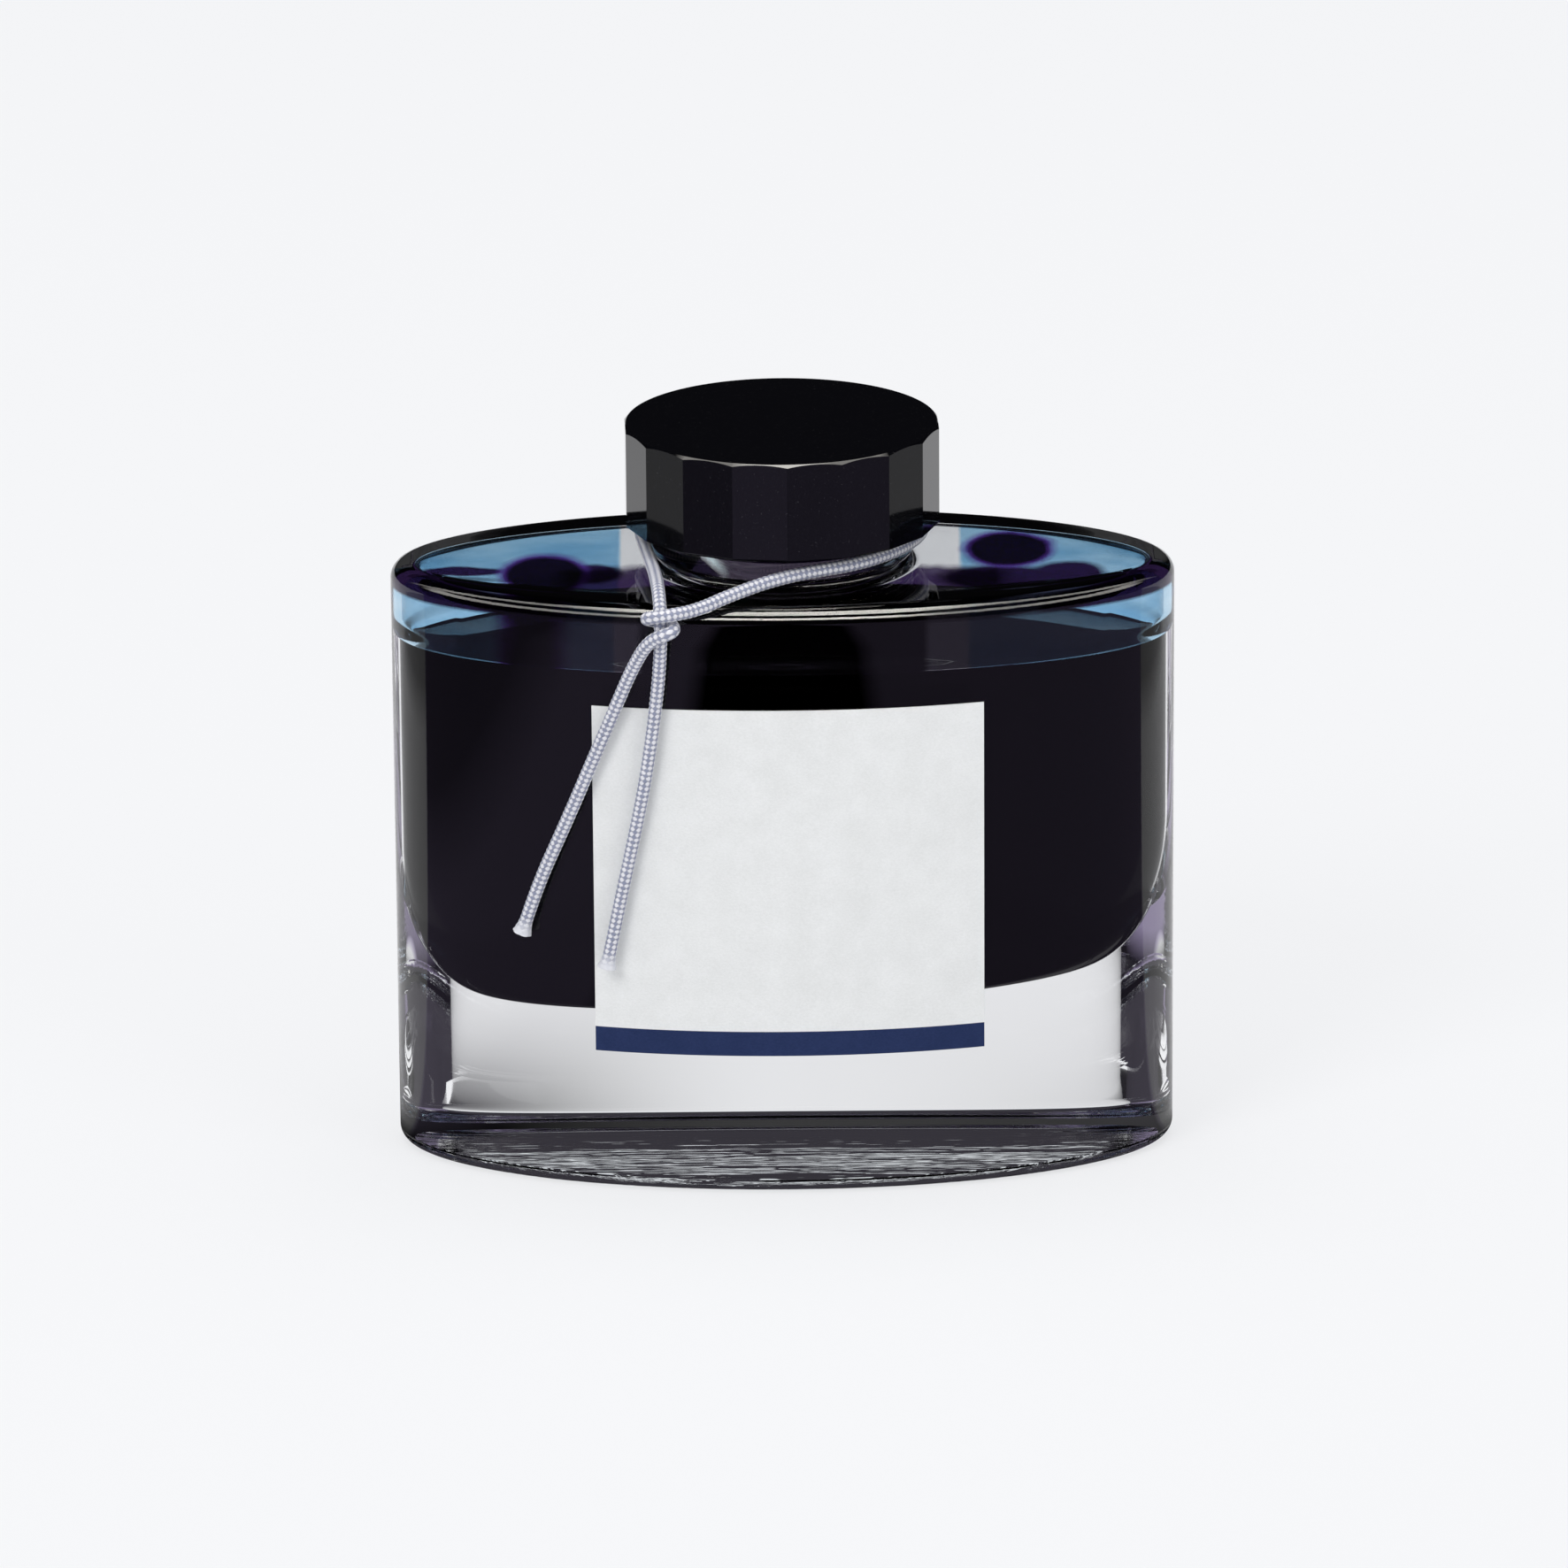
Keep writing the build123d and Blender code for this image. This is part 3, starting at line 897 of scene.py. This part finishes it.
# %% Film of ink under the roof
PALE_BLUE, DEEP_BLUE = (0.60, 0.79, 0.92), (0.40, 0.64, 0.82)
DRY = (0.97, 0.98, 0.99)
STAIN, CORNER_LINE = (0.045, 0.018, 0.075), (0.022, 0.010, 0.045)
PUDDLE_EDGE, PUDDLE_MIDDLE = (0.20, 0.06, 0.38), (0.01, 0.005, 0.02)
# each: x and y of the middle, then half its length and half its depth, in mm
PUDDLES = [((-24.2, -4.4), (4.6, 7.4)), ((23.1, 3.6), (4.8, 6.4))]
STAINS = [((-32.6, -2.9), (4.6, 1.5)), ((-19.2, -4.0), (3.0, 3.2)),
          ((29.2, -4.6), (3.6, 3.6)), ((22.0, -6.4), (6.0, 4.4))]


def tinted_glass(tree, colour):
    """Glass under a film of ink, which colours what passes and what mirrors."""
    return tree.node("ShaderNodeBsdfGlass", {}, {
        "Color": rgb(*colour), "Roughness": 0.0, "IOR": GLASS_IOR})


def patch(x, y, centre, half_size, edge):
    """1 inside an oval on the ceiling, 0 outside, over an edge that wide."""
    away = [(place - middle * MM) / (half * MM)
            for place, middle, half in zip((x, y), centre, half_size)]
    reach = (away[0] * away[0] + away[1] * away[1]).root()
    return reach.fade(1 + edge / 2, 1 - edge / 2)


wet_glass, tree = new_material("glass wet with ink")
x, y, z = (tree.place().axis(letter) for letter in "XYZ")
streaks = tree.noise(7 * MM, 2.0, (0.5, 1, 3))
wobble = (tree.noise(5 * MM, 2.0) - 0.5) * (1.2 * MM)
round_neck = (x - 0.8 * MM).size().fade(17.7 * MM, 17.3 * MM)
on_roof = z.fade(CEILING - 0.35 * MM, CEILING - 0.24 * MM)
tints = [(streaks.fade(0.40, 0.65), DEEP_BLUE), (round_neck, DRY)]
for centre, half_size in STAINS:
    stain = patch(x + wobble, y + wobble, centre, half_size, 0.35)
    tints.append((stain * on_roof, STAIN))
for centre, half_size in PUDDLES:
    puddle = patch(x + wobble, y + wobble, centre, half_size, 0.25)
    smaller = [0.86 * half for half in half_size]
    middle = patch(x + wobble, y + wobble, centre, smaller, 0.2)
    tints += [(puddle, PUDDLE_EDGE), (middle, PUDDLE_MIDDLE)]
corner = z.fade(CEILING - 1.3 * MM, CEILING - 0.97 * MM)
corner = corner * z.fade(CEILING - 0.14 * MM, CEILING - 0.25 * MM)
corner = corner * y.fade(4 * MM, 1.5 * MM) * streaks.fade(0.25, 0.393)
tints.append((corner, CORNER_LINE))
print("film:", len(PUDDLES), "puddles and", len(STAINS), "stains")

# %% [markdown]
# The bore was wetted most, but two narrow streaks in it are left clear as a
# painted highlight, and light shows through the neck there.  On the middle
# of the front wall the film is thick and nearly black, and on the back wall
# a tide mark with a wavy edge stands two millimetres above the ink.  The
# tints are then mixed in the order of the list, the last one on top.

# %% Film of ink on the walls
# the second colour tints two clear streaks in the bore, placed as a painted highlight
IN_BORE, CLEAR_HIGHLIGHT_STREAK = (0.014, 0.010, 0.025), (0.62, 0.82, 0.84)
FRONT_WALL, TIDE_MARK = (0.05, 0.04, 0.06), (0.05, 0.025, 0.10)
TIDE = 2.0 * MM

from_neck = (x * x + y * y).root()
in_bore = from_neck.fade(11.6 * MM, 11.2 * MM) * streaks.fade(0.30, 0.411)
slant = (z / MM - 65) * 1.3    # the left streak leans; the right one doesn't
# two clear streaks in the bore's dark film, placed as a painted highlight
left_highlight_streak = (1.2 - (x / MM + 6.6 + slant).size()).clamped() * 0.7
right_highlight_streak = (0.9 - (x / MM - 4.4).size()).clamped() * 0.5
clear = left_highlight_streak.or_larger(right_highlight_streak)
at_front = x.size().fade(14.5 * MM, 13.8 * MM) * y.fade(-8 * MM, -9 * MM)
at_back = x.size().fade(24 * MM, 22 * MM) * y.fade(0, 2.5 * MM)
below_tide = (z - wobble).fade(INK_LEVEL + TIDE, INK_LEVEL + TIDE - 0.5 * MM)
tints += [(in_bore * clear, CLEAR_HIGHLIGHT_STREAK), (in_bore * (1 - clear), IN_BORE),
          (at_front, FRONT_WALL), (below_tide * at_back, TIDE_MARK)]
film = tinted_glass(tree, PALE_BLUE)
for mask, colour in tints:
    film = mask.shaders(film, tinted_glass(tree, colour))
output(tree, film)
glass.data.materials.append(wet_glass)
print("tide mark at", round((INK_LEVEL + TIDE) / MM, 1), "mm")

# %% [markdown]
# Ink against glass reflects very little straight on, but from about 62
# degrees it reflects everything, because light goes from the denser glass
# to the thinner ink.  A Fresnel node with the ratio of the two indices,
# which is below 1, gives just that, and picks between a nearly black body
# and a clean mirror.

# %% Ink material
INK_BLACK = rgb(0.0010, 0.0006, 0.0016)
ink_wall_material, tree = new_material("dark ink against glass")
mirror_share = tree.node("ShaderNodeFresnel", {}, {"IOR": INK_IOR / GLASS_IOR})
body = tree.principled(Base_Color=INK_BLACK, Roughness=0.6, Specular_IOR_Level=0.0)
mirror = tree.node("ShaderNodeBsdfAnisotropic", {}, {
    "Color": rgb(1, 1, 1), "Roughness": 0.0})
output(tree, mirror_share.shaders(body, mirror))

ink_top_material, tree = new_material("dark ink against air")
output(tree, tree.principled(Base_Color=INK_BLACK, Roughness=0.0, IOR=INK_IOR))
ink.data.materials.append(ink_wall_material)
ink.data.materials.append(ink_top_material)
print("ink ready")

# %% [markdown]
# ## Paper, plastic and yarn
#
# The label is uncoated paper: fine fibres in the colour and the bump, with
# a dark blue band printed along its bottom edge.

# %% Paper
BAND_TOP = label_low.z + 2.6 * MM
paper, tree = new_material("label paper")
fibres = tree.noise(0.28 * MM, 4.0, (1, 1, 1.6), 0.6)
cloud = tree.noise(3 * MM, 2.0)
shade = (fibres * 0.6 + cloud * 0.4).fade(0.35, 0.683)
white = shade.blend(rgb(0.76, 0.77, 0.765), rgb(0.84, 0.85, 0.85))
navy = shade.blend(rgb(0.016, 0.028, 0.085), rgb(0.023, 0.037, 0.108))
band = tree.math("LESS_THAN", tree.place().axis("Z"), BAND_TOP)
output(tree, tree.principled(
    Base_Color=band.blend(white, navy), Roughness=0.75, Specular_IOR_Level=0.1,
    Normal=tree.bump(fibres, 0.02 * MM)))
label.data.materials.append(paper)
print("band", round((BAND_TOP - label_low.z) / MM, 1), "mm high")

# %% [markdown]
# The cap is polished, so it shows its reflections and little colour: a few
# specks of dust and faint smears keep it from looking like a drawing.  The
# insert and the seal are seen only under a lifted cap, and stay plain.

# %% Black plastics and foam
cap_black, tree = new_material("polished black plastic")
specks = tree.noise(0.22 * MM, 3.0, rough=0.7).fade(0.66, 0.743)
smears = tree.noise(4 * MM, 3.0)
output(tree, tree.principled(
    Base_Color=specks.blend(rgb(0.002, 0.002, 0.003), rgb(0.06, 0.06, 0.065)),
    Roughness=specks * 0.25 + smears * 0.04 + 0.03, IOR=1.5))
shell.data.materials.append(cap_black)

liner, tree = new_material("moulded black liner")
grain = tree.noise(0.12 * MM, 2.0)
output(tree, tree.principled(
    Base_Color=rgb(0.02, 0.02, 0.022), Roughness=grain * 0.15 + 0.35,
    Normal=tree.bump(grain, 0.004 * MM)))
insert.data.materials.append(liner)

foam, tree = new_material("seal foam")
cells = tree.noise(0.15 * MM, 2.0)
output(tree, tree.principled(
    Base_Color=cells.blend(rgb(0.62, 0.62, 0.60), rgb(0.82, 0.82, 0.80)),
    Roughness=0.85, Normal=tree.bump(cells, 0.03 * MM)))
wad.data.materials.append(foam)
print("plastics ready")

# %% [markdown]
# The cord is braided from pale yarns, with blue-grey ones winding the
# other way.  The mesh already knows which yarn is on top and how high it
# stands; the grooves between yarns get painted shade.

# %% Yarn
# the first colour is painted shade for the grooves between yarns
GROOVE_SHADE, FUSED_END = rgb(0.09, 0.10, 0.15), rgb(0.70, 0.71, 0.76)
cord_material, tree = new_material("braided yarn")


def stored(tree, name):
    """A number that was kept for each point of the mesh."""
    return tree.node("ShaderNodeAttribute", {"attribute_name": name}, {}, "Fac")


yarn = stored(tree, "light_yarn").blend(rgb(0.26, 0.28, 0.39), rgb(0.80, 0.80, 0.84))
twist = tree.noise(0.09 * MM, 2.0)
raised = stored(tree, "yarn_height").fade(0.1, 0.555) * (twist * 0.25 + 0.85)
# painted shade in the grooves, where the yarns stand low
colour = raised.clamped().blend(GROOVE_SHADE, yarn)
colour = stored(tree, "fused").fade(0, 0.833).blend(colour, FUSED_END)
output(tree, tree.principled(
    Base_Color=colour, Roughness=0.62, Sheen_Weight=0.2, Specular_IOR_Level=0.4,
    Normal=tree.bump(twist, 0.02 * MM)))
cord.data.materials.append(cord_material)
print("yarn ready")

# %% [markdown]
# ## The studio
#
# A pale table runs to the horizon.  Glass has no look of its own: it shows
# what stands round it, so the table and the sky are given a brightness
# for what glass and gloss see, and another for the camera.

# %% Table
TABLE = 3.0               # half its width, in metres
SHADOW_SHARE = 0.25       # how much of the shadow on it the camera sees
PALE = rgb(0.930, 0.938, 0.956)
table_mesh = bpy.data.meshes.new("table")
table_mesh.from_pydata([(-TABLE, -TABLE, 0), (TABLE, -TABLE, 0), (TABLE, TABLE, 0),
                        (-TABLE, TABLE, 0)], [], [(0, 1, 2, 3)])
table = add_object("table", table_mesh)
table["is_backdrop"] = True


def kinds_of_ray(tree):
    """Three masks: seen by the camera, through glass, and in a mirror."""
    return [tree.node("ShaderNodeLightPath", {}, {}, f"Is {kind} Ray")
            for kind in ("Camera", "Transmission", "Glossy")]


table_material, tree = new_material("pale table")
seen, through, mirrored = kinds_of_ray(tree)
lit = tree.node("ShaderNodeBsdfDiffuse", {}, {"Color": rgb(0.85, 0.855, 0.87)})
plain = tree.node("ShaderNodeEmission", {}, {"Color": PALE, "Strength": 1.0})
for_camera = tree.node("ShaderNodeMixShader", {}, {0: SHADOW_SHARE, 1: plain, 2: lit})
print("table", 2 * TABLE, "m wide")

# %% [markdown]
# Glass and gloss see a table laid out as in a catalogue studio.  In front
# of the bottle it is black, and a little paler at the sides, which draws
# the heel.  Behind the bottle it is bright, so the thick base looks clear,
# and close by a painted shadow of the bottle dims it towards the left.
# Far out at both sides it is dark for the cap's outer facets, and a
# painted shadow lies on the table under the bottle.

# %% The table as glass sees it
x, y = tree.place().axis("X"), tree.place().axis("Y")
aside, across = x.size(), x / MM
front_tone = aside.fade(0.040, 0.052) * 0.26
front_tone = front_tone * (1 - x.fade(-0.12, -0.16) * 0.6)
front_tone = front_tone * (1 - x.fade(0, 0.05) * 0.3)
beside_cap = aside.fade(0.18, 0.20) * y.fade(0.095, 0.075)
back_tone = (y.fade(0, 0.05) * 0.12 + 0.80) * (1 - beside_cap * 0.55)
# painted shadow of the bottle on the table close behind it, deepest towards the left
shadow_falloff = across * across * (0.0012 - across.fade(0, 4) * 0.0010)
shadowed_tone = (0.86 - shadow_falloff).or_larger(0.05)
near_shadow = y.fade(0.075, 0.055) * aside.fade(0.050, 0.040)
back_tone = back_tone * (1 - near_shadow) + shadowed_tone * near_shadow
# painted shadow on the table under the bottle
reach = (x / HALF_LENGTH) * (x / HALF_LENGTH) + (y / HALF_DEPTH) * (y / HALF_DEPTH)
under_shadow = reach.fade(1.25, 1.0)
behind = y.fade(-2.5 * MM, -0.5 * MM)
tone = (behind * back_tone + (1 - behind) * front_tone) * (1 - under_shadow * 0.95)
tint = behind.blend(rgb(0.92, 0.78, 1.20), rgb(1.0, 1.0, 1.02))
in_glass = tree.node("ShaderNodeEmission", {}, {"Color": tint, "Strength": tone})
surface = mirrored.or_larger(through).shaders(lit, in_glass)
output(tree, seen.shaders(surface, for_camera))
table_mesh.materials.append(table_material)
print("table ready")

# %% [markdown]
# A plain ramp from horizon to zenith lights what is dull, but gloss and
# glass look at other things.  Gloss, such as the cap and the shoulder's
# edge, sees a long softbox overhead that curves back and dims at its ends,
# a strip light in front, and darkness between them, which keeps black
# plastic black.  Glass sees a dark room with a bright horizon behind the
# bottle and one high window, which lights the wet roof.

# %% Sky
world = bpy.data.worlds.new("studio")
bpy.context.scene.world = world
world.use_nodes = True
world.node_tree.nodes.clear()
tree = Wire(world.node_tree)
way = tree.node("ShaderNodeTexCoord", {}, {}, "Generated")
x, y, z = (way.axis(letter) for letter in "XYZ")
sky_stops = [(0.00, (0.80, 0.81, 0.84)), (0.13, (0.75, 0.76, 0.79)),
             (0.20, (0.10, 0.10, 0.11)), (0.66, (0.06, 0.06, 0.07)),
             (0.74, (0.9, 0.9, 0.9)), (1.0, (1.0, 1.0, 1.0))]
sky = tree.node("ShaderNodeValToRGB", {"stops": sky_stops}, {0: z})
rear = y.fade(-0.02, 0.02)
horizon = rear * z.fade(0.045, 0.015)
high_window = rear * (z - 0.58).size().fade(0.055, 0.035)
in_middle = x.size().fade(0.38, 0.213)
ends_dim = in_middle * 0.7 + 0.3
curved = (y + 0.33 - x * x * 0.9).size()
softbox = (curved - in_middle * 0.10).fade(0.15, 0.10) * z.fade(0, 0.1)
softbox = softbox * ends_dim * x.size().fade(0.85, 0.65)
front_strip = (z - 0.54).size().fade(0.12, 0.07) * y.fade(0.2, 0) * ends_dim
print("sky drawn")

# %% Who sees which sky
on_gloss = softbox.blend(rgb(0.006, 0.006, 0.007), rgb(14.0, 13.6, 12.8))
on_gloss = front_strip.blend(on_gloss, rgb(16.0, 15.6, 14.8))
on_gloss = horizon.blend(on_gloss, rgb(0.85, 0.86, 0.88))
glow = horizon.or_larger(high_window * 0.8)
in_glass = glow.blend(rgb(0.040, 0.037, 0.046), rgb(0.83, 0.86, 0.89))
seen, through, mirrored = kinds_of_ray(tree)
backdrop = seen.blend(through.blend(mirrored.blend(sky, on_gloss), in_glass), PALE)
background = tree.node("ShaderNodeBackground", {}, {"Color": backdrop, "Strength": 1.0})
end = world.node_tree.nodes.new("ShaderNodeOutputWorld")
world.node_tree.links.new(background.socket, end.inputs[0])
print("sky ready")

# %% [markdown]
# Three soft lamps light what isn't glossy: paper and yarn.  Mirrors and
# glass don't see them, or they would show as white squares.

# %% Lamps
def soft_lamp(name, place, size, power):
    """A square lamp that faces the bottle: size in metres, power in watts."""
    data = bpy.data.lights.new(name, "AREA")
    data.shape, data.size, data.energy = "SQUARE", size, power
    lamp = bpy.data.objects.new(name, data)
    lamp.location = place
    lamp.rotation_euler = (AIM - lamp.location).to_track_quat("-Z", "Y").to_euler()
    lamp.visible_glossy = lamp.visible_transmission = lamp.visible_camera = False
    bpy.context.scene.collection.objects.link(lamp)


soft_lamp("key", Vector((-1.2, -1.6, 1.5)), 1.0, 22)
soft_lamp("fill", Vector((1.6, -1.4, 0.9)), 1.2, 10)
soft_lamp("top", Vector((0.0, 0.2, 2.2)), 1.6, 14)
bpy.context.scene.cycles.max_bounces = 24
bpy.context.scene.cycles.transmission_bounces = 24
bpy.context.scene.cycles.glossy_bounces = 16
print("lamps ready")

# %% Sizes and finish
sizes = {"cad": [list(corner) for corner in cad_box],
         "visual": [list(corner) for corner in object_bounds()]}
box = [[round(c / MM, 1) for c in corner] for corner in sizes["visual"]]
print("visual box in mm:", box)
